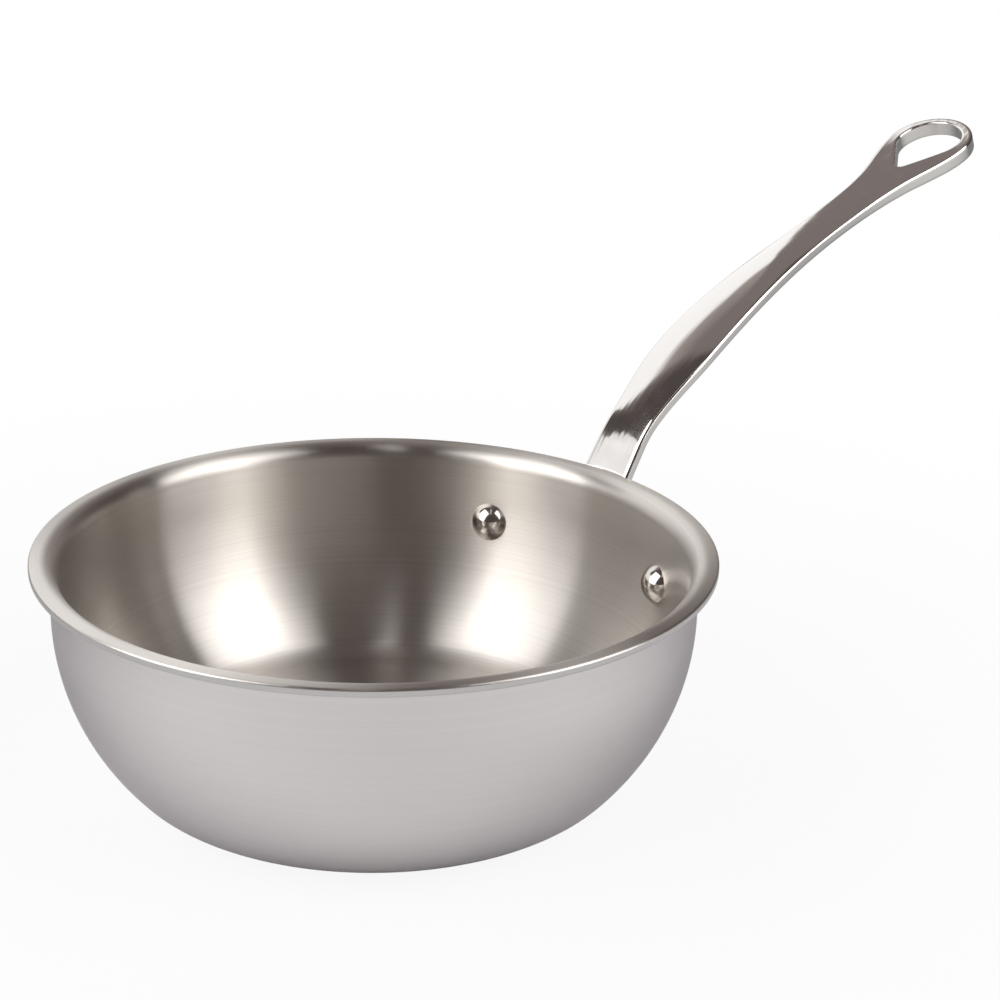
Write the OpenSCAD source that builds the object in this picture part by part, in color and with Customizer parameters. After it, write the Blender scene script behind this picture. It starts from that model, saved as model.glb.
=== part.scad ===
// Clad saucier pan with a cast handle riveted to its wall.
// Millimetres, +Z up, origin at the centre of the underside, handle along +X.

/* [Bowl] */
// Diameter across the pouring lip
rim_d = 216; // [190:1:250]
// How far the lip stands out past the upright wall
lip_reach = 6; // [4.5:0.1:8]
// Height from the underside to the top of the lip
bowl_h = 75; // [65:1:90]
// How far below the top of the lip the wall starts to curve in
straight_h = 18; // [12:0.5:25]
// Outside radius of the long curve of the wall
sweep_r = 78; // [66:1:92]
// Outside radius of the curve into the base
base_r = 16; // [8:0.5:20]
// Underside radius of the turned-out lip
lip_curl_r = 3; // [1.5:0.5:4]
// Rounding of the lip's cut edge
lip_edge_r = 0.8; // [0.2:0.1:1.1]

/* [Clad layers] */
// Thickness of the inner cooking layer
inner_ply_t = 0.4; // [0.3:0.05:0.8]
// Thickness of the aluminium alloy layer under the cooking layer
core_inner_t = 0.3; // [0.2:0.05:0.6]
// Thickness of the pure aluminium layer in the middle
core_middle_t = 1.2; // [0.6:0.05:2]
// Thickness of the aluminium alloy layer behind the outer layer
core_outer_t = 0.3; // [0.2:0.05:0.6]
// Thickness of the outer magnetic steel layer
outer_ply_t = 0.4; // [0.3:0.05:0.8]

/* [Rivets] */
// Angle of each rivet from the handle's middle plane
rivet_angle = 23.75; // [18:0.25:28]
// How far below the top of the lip the rivets stand
rivet_drop = 26.7; // [22:0.1:33]
// Diameter of the rivet shank
shank_d = 6; // [4:0.1:8]
// Radial clearance of the shank in its holes
shank_gap = 0.05; // [0.02:0.01:0.15]
// Diameter of the domed head inside the pan
head_d = 13.8; // [10:0.1:16]
// Height of the domed head
head_h = 4.6; // [2.5:0.1:6]
// Diameter of the upset end outside
tail_d = 11; // [8:0.1:14]
// Height of the upset end
tail_h = 2.6; // [1.5:0.1:4]

/* [Handle flange] */
// Thickness of the flange on the wall
flange_t = 3.4; // [2.4:0.1:5]
// Radius of the ear round each rivet
ear_r = 11; // [9:0.5:13]
// Gap between the flange's top, behind the neck, and the underside of the lip
flange_gap = 4.4; // [3.2:0.1:8]
// Clearance between the casting and the lip
lip_gap = 0.3; // [0.1:0.05:0.8]

/* [Handle path] */
// How far past the lip the bend between neck and grip lies
bend_reach = 9.8; // [8:0.1:18]
// Height of that bend above the lip
bend_rise = 13.8; // [12:0.1:24]
// Slope of the neck
neck_slope = 56; // [50:0.1:64]
// Slope at which the grip leaves the bend
grip_slope = 43.5; // [36:0.5:50]
// How far the grip holds that slope
grip_pull = 73; // [55:1:85]
// How far past the lip the centre of the loop's round end lies
loop_reach = 186; // [155:1:215]
// How far past that centre the handle's middle line ends
loop_run = 8; // [4:0.5:12]
// Height of that end above the lip
loop_rise = 99.3; // [80:0.1:120]
// Slope of the straight end of the grip and of the loop
loop_slope = 25; // [17:0.2:31]
// How far the end holds that slope
loop_pull = 68; // [50:1:100]
// Length of the bend on each side of its corner
bend_l = 6; // [3:0.5:9]
// Distance from that corner down to where the neck turns towards the wall
neck_l = 23; // [19:0.5:25]

/* [Handle widths] */
// Width of the neck
neck_w = 19; // [15:0.1:23]
// Width of the neck where it meets the wall
root_w = 20; // [16:0.1:26]
// Widest part of the grip
grip_w = 25; // [20:0.1:30]
// How far past the lip the widest part of the grip lies
grip_reach = 40; // [32:1:57]
// Narrowest part of the grip
waist_w = 17.2; // [13:0.1:20]
// How far past the lip the narrowest part lies
waist_reach = 119; // [100:1:135]
// Width of the shoulder where the grip opens into the loop
shoulder_w = 22; // [18:0.1:27]
// Distance of that shoulder from the centre of the loop's round end
shoulder_run = 29; // [22:1:38]
// Radius of the loop's round end
loop_r = 17.5; // [14:0.1:20]

/* [Handle section] */
// Height of the upright side of the grip
side_t = 2.8; // [2:0.1:5]
// Depth of the rounded belly under the side
belly_t = 3.4; // [2:0.1:6]
// Height of the side of the loop
loop_side_t = 5.4; // [3:0.1:7]
// Depth of the belly of the loop
loop_belly_t = 1; // [0.6:0.1:3]
// Rounding of the top edges
edge_r = 0.9; // [0.4:0.1:1.4]
// Height of the crown along the top of the grip
crown_t = 2; // [0.6:0.1:3]
// Distance from the bend over which the crown grows
crown_run = 36; // [20:1:60]
// How far past the lip the crown starts to run out
crown_fade_reach = 83; // [60:1:100]
// Distance from its far end to the centre of the loop's round end
crown_end_run = 42; // [34:1:70]

/* [Hanging hole] */
// Radius of the hole's wide end
hole_r = 12.8; // [9:0.1:14]
// Radius of the hole's narrow end
hole_tip_r = 2.4; // [1.5:0.1:4]
// Distance of the hole's wide end from the centre of the loop's round end
hole_shift = 0.9; // [-1:0.1:2]
// Distance between the centres of the hole's two ends
hole_run = 20; // [14:0.5:24]

/* [Hidden] */

$fn = 180;
eps = 0.01;
hair = 0.005;

rim_r = rim_d / 2;
wall_r = rim_r - lip_reach;
core_outer_at = outer_ply_t;
core_middle_at = core_outer_at + core_outer_t;
core_inner_at = core_middle_at + core_middle_t;
inner_ply_at = core_inner_at + core_inner_t;
wall_t = inner_ply_at + inner_ply_t;

// Height at which the wall turns out into the lip
lip_h = bowl_h - wall_t - lip_curl_r;
// Heights of the places that are set from the lip
curve_start_h = bowl_h - straight_h;
rivet_h = bowl_h - rivet_drop;
flange_top_h = bowl_h - wall_t - flange_gap;
// Centre of the long curve of the wall
sweep_x = wall_r - sweep_r;
// Drop from that centre to the centre of the base curve, and the run between them
sweep_drop = curve_start_h - base_r;
sweep_run = sqrt(pow(sweep_r - base_r, 2) - pow(sweep_drop, 2));
base_flat_r = sweep_x + sweep_run;
// Angle below level at which the two curves meet
meet_angle = atan2(sweep_drop, sweep_run);
// Height of the point that a rivet's axis leaves from, and its angle below level, square on the wall
rivet_from_h = max(curve_start_h, rivet_h);
rivet_tilt = asin((rivet_from_h - rivet_h) / sweep_r);

// Reaches of the places along the handle
bend_x = rim_r + bend_reach;
grip_x = rim_r + grip_reach;
waist_x = rim_r + waist_reach;
loop_centre_x = rim_r + loop_reach;
shoulder_x = loop_centre_x - shoulder_run;
loop_x = loop_centre_x + loop_run;
crown_fade_x = rim_r + crown_fade_reach;
crown_end_x = loop_centre_x - crown_end_run;

// Half section of the filled pan without its lip, drawn in from the outside by a depth.
// Each curve is larger than its neighbour by a hair, so that the two cross and don't only touch.
module wall_section(d, top) {
    meet_h = base_r - (base_r - d) * sin(meet_angle);
    intersection() {
        union() {
            translate([0, -base_r]) square([base_flat_r, 2 * base_r]);
            translate([base_flat_r, base_r]) circle(r = base_r - d + 2 * hair);
            intersection() {
                translate([sweep_x, curve_start_h]) circle(r = sweep_r - d + hair);
                translate([0, meet_h]) square([2 * sweep_r, sweep_r]);
            }
            translate([0, curve_start_h]) square([2 * sweep_r, top]);
        }
        translate([0, d]) square([wall_r - d, top - d]);
    }
}

// Half section of the filled pan with its lip, running on past the lip's top and cut edge
module pan_section(d) {
    lip_x = wall_r + lip_curl_r;
    beyond = 2;
    wall_section(d, bowl_h + beyond);
    difference() {
        translate([0, lip_h]) square([rim_r + beyond, bowl_h + beyond - lip_h]);
        translate([lip_x, lip_h]) circle(r = lip_curl_r + d + hair);
        translate([lip_x, lip_h - beyond]) square([rim_r, beyond + lip_curl_r + d]);
    }
}

// Everything inside the lip's rounded cut edge, grown by a clearance
module lip_trim(gap = 0) {
    low = lip_h + lip_curl_r - gap;
    high = bowl_h + gap;
    edge = lip_edge_r + gap;
    square([rim_r + gap - edge, high]);
    translate([0, low + edge]) square([rim_r + gap, high - low - 2 * edge]);
    for (z = [low + edge, high - edge])
        translate([rim_r + gap - edge, z]) circle(r = edge);
}

// Stands a shape square on the curved wall at a rivet, this far from the wall's long centre
module on_wall(reach) {
    translate([sweep_x, 0, rivet_from_h]) rotate([0, 90 + rivet_tilt, 0])
        translate([0, 0, reach]) children();
}

module rivet_holes() {
    for (side = [-1, 1])
        rotate([0, 0, side * rivet_angle]) on_wall(sweep_r / 2)
            cylinder(r = shank_d / 2 + shank_gap, h = sweep_r);
}

// One layer of the clad wall between two depths
module ply(d0, d1) {
    difference() {
        rotate_extrude() intersection() {
            difference() {
                pan_section(d0);
                pan_section(d1);
            }
            lip_trim();
        }
        rivet_holes();
    }
}

module inner_ply() {
    color("silver") ply(inner_ply_at, wall_t);
}

module core_inner() {
    color("gainsboro") ply(core_inner_at, inner_ply_at);
}

module core_middle() {
    color("gainsboro") ply(core_middle_at, core_inner_at);
}

module core_outer() {
    color("gainsboro") ply(core_outer_at, core_middle_at);
}

module outer_ply() {
    color("silver") ply(0, core_outer_at);
}

// Handle path: neck, bend and grip, each point as [reach, height, slope]
root_sink = 0.4;
corner = [bend_x, bowl_h + bend_rise];
far_end = [loop_x, bowl_h + loop_rise];
grip_p1 = corner + grip_pull * [cos(grip_slope), sin(grip_slope)];
grip_p2 = far_end - loop_pull * [cos(loop_slope), sin(loop_slope)];
neck_root = [wall_r + root_sink, rivet_h];
neck_turn = [neck_root[0], corner[1] - (corner[0] - neck_root[0]) * tan(neck_slope)];
neck_low = corner - neck_l * [cos(neck_slope), sin(neck_slope)];
neck_high = corner - bend_l * [cos(neck_slope), sin(neck_slope)];

function mix(a, b, t) = a + (b - a) * t;
function with_slope(p, d) = [p[0], p[1], atan2(d[1], d[0])];
function quad_at(a, b, c, t) =
    with_slope(mix(mix(a, b, t), mix(b, c, t), t), mix(b - a, c - b, t));
function cubic_at(a, b, c, d, t) =
    let (ab = mix(a, b, t), bc = mix(b, c, t), cd = mix(c, d, t))
    with_slope(mix(mix(ab, bc, t), mix(bc, cd, t), t), mix(bc, cd, t) - mix(ab, bc, t));
function grip_at(t) = cubic_at(corner, grip_p1, grip_p2, far_end, t);

grip_t0 = bend_l / (3 * grip_pull);
grip_start = [grip_at(grip_t0)[0], grip_at(grip_t0)[1]];

// Value and slope at a few reaches, joined by smooth cubics
function key_index(keys, x, i = 0) =
    i >= len(keys) - 2 || x < keys[i + 1][0] ? i : key_index(keys, x, i + 1);
function key_value(keys, x) =
    let (i = key_index(keys, x), a = keys[i], b = keys[i + 1], run = b[0] - a[0])
    let (t = min(1, max(0, (x - a[0]) / run)))
    (2 * t * t * t - 3 * t * t + 1) * a[1] + (t * t * t - 2 * t * t + t) * run * a[2]
        + (3 * t * t - 2 * t * t * t) * b[1] + (t * t * t - t * t) * run * b[2];
function ease(a, b, x) = let (t = min(1, max(0, (x - a) / (b - a)))) t * t * (3 - 2 * t);

shoulder_flare = 0.19;
width_keys = [
    [neck_root[0], root_w / 2, 0],
    [bend_x, neck_w / 2, 0],
    [grip_x, grip_w / 2, 0],
    [waist_x, waist_w / 2, 0],
    [shoulder_x, shoulder_w / 2, shoulder_flare],
    [loop_centre_x, loop_r, 0]
];
function half_w(x) = x < loop_centre_x
    ? key_value(width_keys, x)
    : sqrt(max(0.01, pow(loop_r, 2) - pow((x - loop_centre_x) / cos(loop_slope), 2)));
function loop_share(x) = ease(waist_x, loop_centre_x, x);
function side_at(x) = mix(side_t, loop_side_t, loop_share(x));
function belly_at(x) = mix(belly_t, loop_belly_t, loop_share(x));

// Height of the crown above the top's edges at a reach
function crown_at(x) =
    crown_t * ease(bend_x, bend_x + crown_run, x) * (1 - ease(crown_fade_x, crown_end_x, x));

// Share of its full depth that the casting has grown to as it leaves the flange
function root_growth(z) = mix((flange_t - 2 * root_sink) / (side_t + belly_t), 1, ease(rivet_h, bowl_h, z));

// Half of a section, from the top's middle to the belly's middle, as [out, up].
// The crown is a parabola that runs into the edge's rounding at the angle that it leans to.
top_shares = [0, 0.3, 0.55, 0.75, 0.9, 1];
edge_shares = [1 / 3, 2 / 3, 1];
belly_turns = [0, 25, 50, 70, 90];
function half_section(x, growth) =
    let (w = half_w(x), c = crown_at(x), s = side_at(x) * growth, b = belly_at(x) * growth)
    let (r = min(edge_r * growth, w / 4), lean = atan2(2 * c, w - r), top_w = w - r + r * sin(lean))
    concat(
        [for (k = top_shares) [k * top_w, c * (1 - k * k)]],
        [for (k = edge_shares) let (a = (1 - k) * (90 - lean))
            [w - r + r * cos(a), r * (sin(a) - cos(lean))]],
        [for (a = belly_turns) [w * cos(a), -s - b * sin(a)]]
    );
function full_section(x, growth) =
    let (half = half_section(x, growth), n = len(half))
    concat(half, [for (i = [n - 2:-1:1]) [-half[i][0], half[i][1]]]);
function placed(p) = [
    for (q = full_section(p[0], root_growth(p[1]))) [p[0] - q[1] * sin(p[2]), q[0], p[1] + q[1] * cos(p[2])]
];

root_steps = 8;
bend_steps = 5;
grip_steps = 30;
end_steps = 7;
function grip_t(x, lo = 0, hi = 1, n = 24) =
    n == 0 ? (lo + hi) / 2
    : grip_at((lo + hi) / 2)[0] < x ? grip_t(x, (lo + hi) / 2, hi, n - 1) : grip_t(x, lo, (lo + hi) / 2, n - 1);
function past_end(x) =
    let (run = x - loop_x) [x, far_end[1] + run * tan(loop_slope), loop_slope];
function on_grip(x) = x > loop_x ? past_end(x) : grip_at(grip_t(x));

path = concat(
    [for (i = [0:root_steps - 1]) quad_at(neck_root, neck_turn, neck_low, i / root_steps)],
    [for (i = [0:1]) let (p = mix(neck_low, neck_high, i / 2)) [p[0], p[1], neck_slope]],
    [for (i = [0:bend_steps - 1]) quad_at(neck_high, corner, grip_start, i / bend_steps)],
    [for (i = [0:grip_steps - 1]) on_grip(mix(grip_start[0], loop_centre_x, i / grip_steps))],
    [for (i = [0:end_steps]) on_grip(loop_centre_x + loop_r * cos(loop_slope) * sin(82 * i / end_steps))]
);

// Rings of points joined by triangles, each end closed by a fan round its middle
module swept_handle() {
    rings = [for (p = path) placed(p)];
    n = len(rings[0]);
    m = len(rings);
    middles = [for (i = [0, m - 1]) (rings[i][0] + rings[i][n / 2]) / 2];
    polyhedron(
        points = concat([for (ring = rings) each ring], middles),
        faces = concat(
            [for (j = [0:n - 1]) [m * n, (j + 1) % n, j]],
            [for (i = [0:m - 2], j = [0:n - 1]) let (k = (j + 1) % n)
                [i * n + j, (i + 1) * n + k, (i + 1) * n + j]],
            [for (i = [0:m - 2], j = [0:n - 1]) let (k = (j + 1) % n)
                [i * n + j, i * n + k, (i + 1) * n + k]],
            [for (j = [0:n - 1]) [m * n + 1, (m - 1) * n + j, (m - 1) * n + (j + 1) % n]]
        )
    );
}

// Outline of the flange seen along the handle
module flange_outline() {
    ear_y = (sweep_x + (sweep_r + flange_t / 2) * cos(rivet_tilt)) * sin(rivet_angle);
    fillet = flange_top_h - rivet_h - ear_r;
    for (side = [-1, 1]) translate([side * ear_y, rivet_h]) circle(r = ear_r);
    translate([-ear_y, rivet_h - ear_r]) square([2 * ear_y, 2 * ear_r]);
    difference() {
        translate([-root_w / 2 - fillet, rivet_h]) square([root_w + 2 * fillet, flange_top_h - rivet_h]);
        for (side = [-1, 1])
            translate([side * (root_w / 2 + fillet), flange_top_h]) circle(r = fillet);
    }
}

// Flange of even thickness, lying on the outside of the wall
module flange() {
    difference() {
        intersection() {
            rotate([0, 0, 180]) rotate_extrude() difference() {
                wall_section(-flange_t, lip_h);
                wall_section(0, lip_h);
                square([rim_r + flange_t, base_r]);
            }
            rotate([90, 0, 90]) linear_extrude(height = wall_r + 2 * flange_t) flange_outline();
        }
        rivet_holes();
    }
}

// Teardrop of the hanging hole, its wide end at the origin and its tip towards -X
module hole_outline() {
    lean = asin((hole_r - hole_tip_r) / hole_run);
    circle(r = hole_r);
    translate([-hole_run, 0]) circle(r = hole_tip_r);
    polygon([
        [-hole_r * sin(lean), hole_r * cos(lean)],
        [-hole_r * sin(lean), -hole_r * cos(lean)],
        [-hole_run - hole_tip_r * sin(lean), -hole_tip_r * cos(lean)],
        [-hole_run - hole_tip_r * sin(lean), hole_tip_r * cos(lean)]
    ]);
}

module hanging_hole() {
    at = on_grip(loop_centre_x + hole_shift);
    depth = 4 * (loop_side_t + loop_belly_t);
    translate([at[0], 0, at[1]]) rotate([0, -loop_slope, 0])
        translate([0, 0, -depth / 2]) linear_extrude(height = depth) hole_outline();
}

// Lip and the corner under it, grown by the clearance to the casting
module lip_clearance() {
    edge = lip_edge_r + lip_gap;
    low = lip_h + lip_curl_r - lip_gap;
    high = bowl_h + lip_gap;
    rotate([0, 0, 180]) rotate_extrude() {
        translate([wall_r - lip_curl_r, low]) square([rim_r - wall_r + lip_curl_r - lip_edge_r, high - low]);
        translate([wall_r, low + edge]) square([rim_r + lip_gap - wall_r, high - low - 2 * edge]);
        for (z = [low + edge, high - edge])
            translate([rim_r - lip_edge_r, z]) circle(r = edge);
    }
}

module handle() {
    color("gainsboro") {
        difference() {
            swept_handle();
            lip_clearance();
            hanging_hole();
        }
        flange();
    }
}

// Spherical cap of diameter d and height h at z = 0, carried on below by a sink
module dome(d, h, sink) {
    ball_r = (d * d / 4 + h * h) / (2 * h);
    intersection() {
        translate([0, 0, h - ball_r]) sphere(r = ball_r, $fn = 72);
        translate([0, 0, -sink]) cylinder(r = ball_r, h = h + sink + eps);
    }
}

// Pan turned so that its revolved surfaces close on the far side
module turned_pan(d) {
    rotate([0, 0, 180]) rotate_extrude() wall_section(d, lip_h);
}

module rivet(side) {
    // How far the caps reach into the curved faces that trim them, and the shank into the caps
    sink = 0.6;
    color("gainsboro") rotate([0, 0, side * rivet_angle]) {
        intersection() {
            on_wall(sweep_r - wall_t) mirror([0, 0, 1]) dome(head_d, head_h, sink);
            turned_pan(wall_t);
        }
        on_wall(sweep_r - wall_t - sink) cylinder(r = shank_d / 2, h = wall_t + flange_t + 2 * sink);
        difference() {
            on_wall(sweep_r + flange_t) dome(tail_d, tail_h, sink);
            turned_pan(-flange_t);
        }
    }
}

module rivet_left() {
    rivet(1);
}

module rivet_right() {
    rivet(-1);
}

inner_ply();
core_inner();
core_middle();
core_outer();
outer_ply();
handle();
rivet_left();
rivet_right();
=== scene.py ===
import math

import bpy
import numpy as np
from bpy.props import FloatProperty, FloatVectorProperty, IntProperty, PointerProperty
from mathutils import Matrix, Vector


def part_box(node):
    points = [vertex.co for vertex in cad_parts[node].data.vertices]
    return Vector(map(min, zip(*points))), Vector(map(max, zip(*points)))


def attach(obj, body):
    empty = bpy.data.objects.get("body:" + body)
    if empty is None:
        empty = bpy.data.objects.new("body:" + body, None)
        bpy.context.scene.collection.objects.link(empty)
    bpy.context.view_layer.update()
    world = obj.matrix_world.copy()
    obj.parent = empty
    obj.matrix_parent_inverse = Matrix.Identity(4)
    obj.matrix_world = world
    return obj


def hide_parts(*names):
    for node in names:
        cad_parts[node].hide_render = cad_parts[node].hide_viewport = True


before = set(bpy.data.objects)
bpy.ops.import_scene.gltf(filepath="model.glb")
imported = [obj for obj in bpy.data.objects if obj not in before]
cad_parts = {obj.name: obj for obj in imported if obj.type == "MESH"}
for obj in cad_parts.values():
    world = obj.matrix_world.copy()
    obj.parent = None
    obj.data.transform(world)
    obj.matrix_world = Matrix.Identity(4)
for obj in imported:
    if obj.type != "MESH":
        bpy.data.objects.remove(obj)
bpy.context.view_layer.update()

bl_info = {
    "name": "Clad Saucier Pan",
    "version": (1, 0, 0),
    "blender": (4, 5, 0),
    "location": "3D View > Sidebar > Saucier Pan",
    "description": "Makes the looks of a clad saucier pan round its packed solids",
    "category": "Object",
}

MM = 0.001
PLIES = ("outer_ply", "core_outer", "core_middle", "core_inner", "inner_ply")
BACKDROP_MIDDLE, BACKDROP_RIGHT = 184, 150


def linear(code):
    """Linear colour of an sRGB hex code such as #C0C0C0."""
    shares = [int(code[i:i + 2], 16) / 255 for i in (1, 3, 5)]
    return tuple(s / 12.92 if s <= 0.04045 else ((s + 0.055) / 1.055) ** 2.4 for s in shares)


def add_node(tree, kind, links=None, **settings):
    """Adds one node. links maps an input to a value or to another node's output; settings are its own."""
    node = tree.nodes.new(kind)
    for name, value in settings.items():
        setattr(node, name, value)
    for name, value in (links or {}).items():
        socket = node.inputs[name]
        if isinstance(value, bpy.types.NodeSocket):
            tree.links.new(value, socket)
        else:
            socket.default_value = value
    return node


def new_material(name):
    """A new material and its emptied node tree."""
    material = bpy.data.materials.new(name)
    material.use_nodes = True
    material.node_tree.nodes.clear()
    return material, material.node_tree


def ramp(tree, value, low, high, start=0.0, end=1.0, smooth=False):
    """Output that goes from start to end while a value goes from low to high."""
    return add_node(tree, "ShaderNodeMapRange", {
        "Value": value, "From Min": low, "From Max": high, "To Min": start, "To Max": end},
        interpolation_type="SMOOTHSTEP" if smooth else "LINEAR").outputs[0]


def reckon(tree, operation, a, b):
    """Output of one sum on two values."""
    return add_node(tree, "ShaderNodeMath", {0: a, 1: b}, operation=operation).outputs[0]


def blend(tree, share, *colours):
    """Colour a share of the way from the first colour to the second."""
    a, b = (c if isinstance(c, bpy.types.NodeSocket) else (*c, 1) for c in colours)
    return add_node(tree, "ShaderNodeMix", {0: share, 6: a, 7: b}, data_type="RGBA").outputs[2]


def toward(tree, where, azimuth):
    """How far a place or a direction lies toward an azimuth in degrees."""
    way = heading(math.radians(azimuth))
    return add_node(tree, "ShaderNodeVectorMath", {0: where, 1: way}, operation="DOT_PRODUCT").outputs["Value"]


def noise(tree, where, size, detail, **settings):
    """Noise from 0 to 1 with patches of a size in metres."""
    return add_node(tree, "ShaderNodeTexNoise", {
        "Vector": where, "Scale": 1 / size, "Detail": detail}, **settings).outputs[0]


def finish_metal(tree, links):
    """Ends a metal's node tree with its shader and its output."""
    shader = add_node(tree, "ShaderNodeBsdfPrincipled", {"Metallic": 1.0, **links})
    add_node(tree, "ShaderNodeOutputMaterial", {"Surface": shader.outputs[0]})


def heading(azimuth):
    """Level direction of an azimuth in radians: 0 is the front, -Y, and a quarter turn is +X."""
    return np.array([math.sin(azimuth), -math.cos(azimuth), 0])


def across(azimuth):
    """Level direction to the right of someone who stands at an azimuth and looks at the pan."""
    return np.array([math.cos(azimuth), math.sin(azimuth), 0])


def pose(columns):
    """World matrix from the directions of X, Y and Z and the place."""
    return Matrix([[column[i] for column in columns] for i in range(3)] + [[0, 0, 0, 1]])


def length(name, description, millimetres):
    """A length that the user can change."""
    return FloatProperty(name=name, description=description, default=millimetres * MM, unit="LENGTH")


def angle(name, description, degrees):
    """An angle that the user can change."""
    return FloatProperty(name=name, description=description, default=math.radians(degrees), subtype="ANGLE")


def colour(name, description, code):
    """A colour that the user can change, from its sRGB hex code."""
    return FloatVectorProperty(name=name, description=description, default=linear(code), subtype="COLOR")


class PanSizes(bpy.types.PropertyGroup):
    """Sizes of the clad bowl"""
    rim_diameter: FloatProperty(
        name="Lip diameter", description="Diameter across the pouring lip",
        default=2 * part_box("core_middle")[1].y, unit="LENGTH")
    height: FloatProperty(
        name="Height", description="Height of the lip's top above the underside",
        default=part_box("inner_ply")[1].z, unit="LENGTH")
    wall_diameter: length("Wall diameter", "Outside diameter of the upright wall below the lip", 204)
    curve_start: length("Curve start", "Height at which the wall starts to curve in", 57)
    sweep_radius: length("Wall curve", "Outside radius of the long curve of the wall", 78)
    base_radius: length("Base curve", "Outside radius of the curve into the base", 16)
    lip_radius: length("Lip curve", "Underside radius of the turned-out lip", 3)
    edge_radius: length("Cut edge", "Rounding of the lip's cut edge", 0.8)
    outer_steel: length("Outer steel", "Thickness of the outer steel layer", 0.4)
    outer_alloy: length("Outer alloy", "Thickness of the alloy layer behind the outer steel", 0.3)
    aluminium: length("Aluminium", "Thickness of the pure aluminium layer", 1.2)
    inner_alloy: length("Inner alloy", "Thickness of the alloy layer behind the cooking steel", 0.3)
    inner_steel: length("Cooking steel", "Thickness of the cooking steel layer", 0.4)
    turns: IntProperty(
        name="Segments", description="Segments round the bowl", default=288, min=64, max=512)


class RivetSizes(bpy.types.PropertyGroup):
    """Sizes of the two rivets"""
    angle: angle("Angle", "Angle of each rivet from the handle's middle plane", 23.75)
    height: length("Height", "Height of the rivets above the underside", 48.3)
    head_diameter: length("Head diameter", "Diameter of the domed head inside the pan", 13.8)
    head_height: length("Head height", "Height of the domed head", 4.6)
    tail_diameter: length("Tail diameter", "Diameter of the upset end outside", 11)
    tail_height: length("Tail height", "Height of the upset end", 2.6)
    shank_diameter: length("Shank diameter", "Diameter of the shank between the two ends", 6)


class HandleSizes(bpy.types.PropertyGroup):
    """Sizes of the cast handle; each reach is measured from the lip, each rise from the lip's top"""
    flange: length("Flange", "Thickness of the flange on the wall", 3.4)
    ear_radius: length("Ear radius", "Radius of the flange round each rivet", 11)
    flange_gap: length("Flange gap", "Gap between the flange's top and the lip's underside", 4.4)
    lip_gap: length("Lip gap", "Clearance between the neck and the lip", 0.3)
    bend_reach: length("Bend reach", "Reach of the bend between neck and grip", 9.8)
    bend_rise: length("Bend rise", "Rise of the bend between neck and grip", 13.8)
    bend_length: length("Bend length", "Length of the bend along each side", 6)
    neck_length: length("Neck length", "Length of the neck's straight part and bend", 23)
    neck_slope: angle("Neck slope", "Slope of the neck", 56)
    grip_slope: angle("Grip slope", "Slope of the grip where it leaves the bend", 43.5)
    grip_pull: length("Grip pull", "Distance over which the grip holds its first slope", 73)
    loop_reach: length("Loop reach", "Reach of the loop's round centre", 186)
    loop_run: length("Loop run", "Distance from the loop's centre to the end of the grip's curve", 8)
    loop_rise: length("Loop rise", "Rise of the end of the grip's curve", 99.3)
    loop_slope: angle("Loop slope", "Slope of the loop", 25)
    loop_pull: length("Loop pull", "Distance over which the grip holds the loop's slope", 68)
    root_width: length("Root width", "Width where the neck leaves the flange", 20)
    neck_width: length("Neck width", "Width at the bend", 19)
    grip_width: length("Grip width", "Greatest width of the grip", 25)
    grip_reach: length("Grip reach", "Reach of the grip's greatest width", 40)
    waist_width: length("Waist width", "Least width of the grip", 17.2)
    waist_reach: length("Waist reach", "Reach of the grip's least width", 119)
    shoulder_width: length("Shoulder width", "Width where the loop starts", 22)
    shoulder_run: length("Shoulder run", "Distance from the start of the loop to its centre", 29)
    loop_radius: length("Loop radius", "Outside radius of the loop", 17.5)
    side: length("Side", "Height of the grip's upright sides", 2.8)
    belly: length("Belly", "Depth of the rounded underside below the sides", 3.4)
    loop_side: length("Loop side", "Height of the loop's upright sides", 5.4)
    loop_belly: length("Loop belly", "Depth of the loop's rounded underside", 1)
    edge: length("Edge", "Rounding of the handle's top edges", 1.1)
    crown: length("Crown", "Height of the grip's domed top", 2)
    crown_run: length("Crown run", "Distance from the bend over which the crown grows", 36)
    crown_fade: length("Crown fade", "Reach at which the crown starts to go down", 83)
    crown_end: length("Crown end", "Distance from the crown's end to the loop's centre", 42)
    hole_radius: length("Hole radius", "Radius of the hanging hole's round end", 12.8)
    tip_radius: length("Tip radius", "Radius of the hanging hole's pointed end", 2.4)
    hole_shift: length("Hole shift", "Distance of the hole's round centre past the loop's", 0.9)
    hole_run: length("Hole run", "Distance between the centres of the hole's two ends", 20)
    hole_edge: length("Hole edge", "Rounding of the hanging hole's edges", 0.8)


class PanFinish(bpy.types.PropertyGroup):
    """Colours of the metals and of the studio"""
    cooking_steel: colour("Cooking steel", "Satin 18/10 steel inside", "#D8D3CD")
    outer_steel: colour("Outer steel", "Satin magnetic steel outside", "#E6E2E2")
    aluminium: colour("Aluminium", "Bare core at the lip's cut edge", "#CCCAC9")
    casting: colour("Casting", "Polished cast steel handle", "#E2DFDC")
    rivets: colour("Rivets", "Polished steel rivets", "#CFCAC5")
    floor: colour("Floor", "Pale floor", "#E6E6E6")
    room: colour("Room", "Dim room behind the camera and above the pan", "#544C4A")
    ceiling: colour("Ceiling", "Lighter part of the room above the backdrop", "#857C7A")
    glow: colour("Backdrop glow", "Room just above the backdrop, in its light", "#AFA6A3")


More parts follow.
